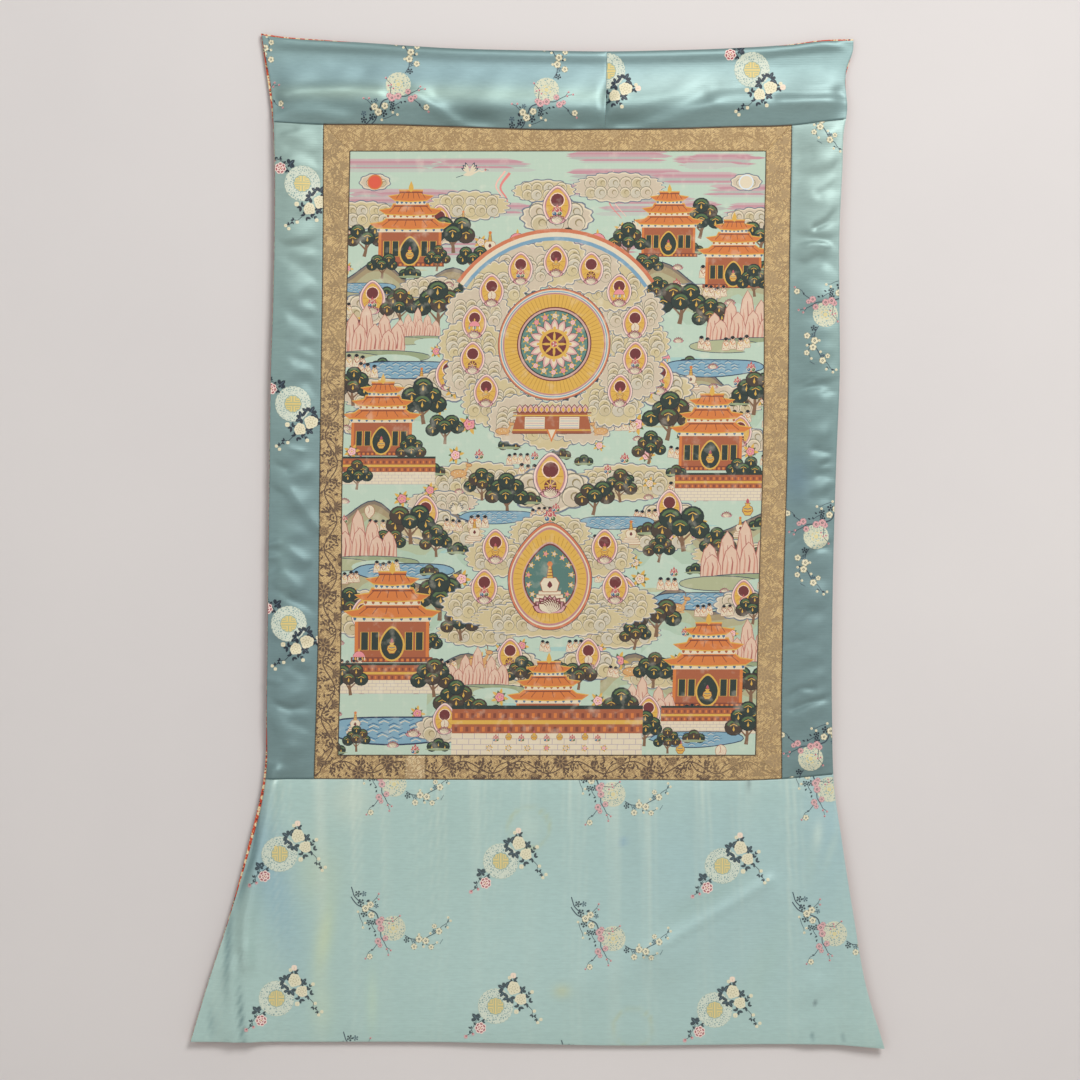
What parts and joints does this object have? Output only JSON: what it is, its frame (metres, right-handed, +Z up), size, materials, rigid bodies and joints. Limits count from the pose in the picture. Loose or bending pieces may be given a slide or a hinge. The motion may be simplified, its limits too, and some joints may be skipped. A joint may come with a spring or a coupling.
{
  "type": "hanging thangka scroll painting in a silk mount",
  "caption": "Painted canvas in a mitred brocade frame, mounted in pieced figured satin with a flared skirt, over a printed lining, hung flat.",
  "frame": {"origin": "middle of the top edge, at the wall behind the cloth", "axes": "+Z up along the hanging cloth, -Y out of the painted face, +X to the viewer's right"},
  "size_m": [0.7627, 0.0144, 1.1157],
  "materials": {
    "satin": "teal silk satin, woven with small sprays and roundels, lustrous and puckered",
    "faded_satin": "the same satin faded to a paler blue green, ribbed, with stains",
    "brocade": "dull gold brocade with a brown scrolling leaf pattern",
    "pale_brocade": "the same brocade, paler and plainer",
    "canvas": "matt distemper on primed cotton, with touches of gold",
    "printed_cotton": "orange red printed cotton with small cream marks"
  },
  "bodies": {
    "root": {"painting": "canvas", "border_top": "brocade", "border_left": "brocade", "border_right": "brocade", "border_bottom_left": "brocade", "border_bottom_insert": "pale_brocade", "border_bottom_right": "brocade", "top_panel_left": "satin", "top_panel_right": "satin", "side_panel_left": "satin", "side_panel_right": "satin", "skirt": "faded_satin", "lining": "printed_cotton"}
  },
  "joints": []
}
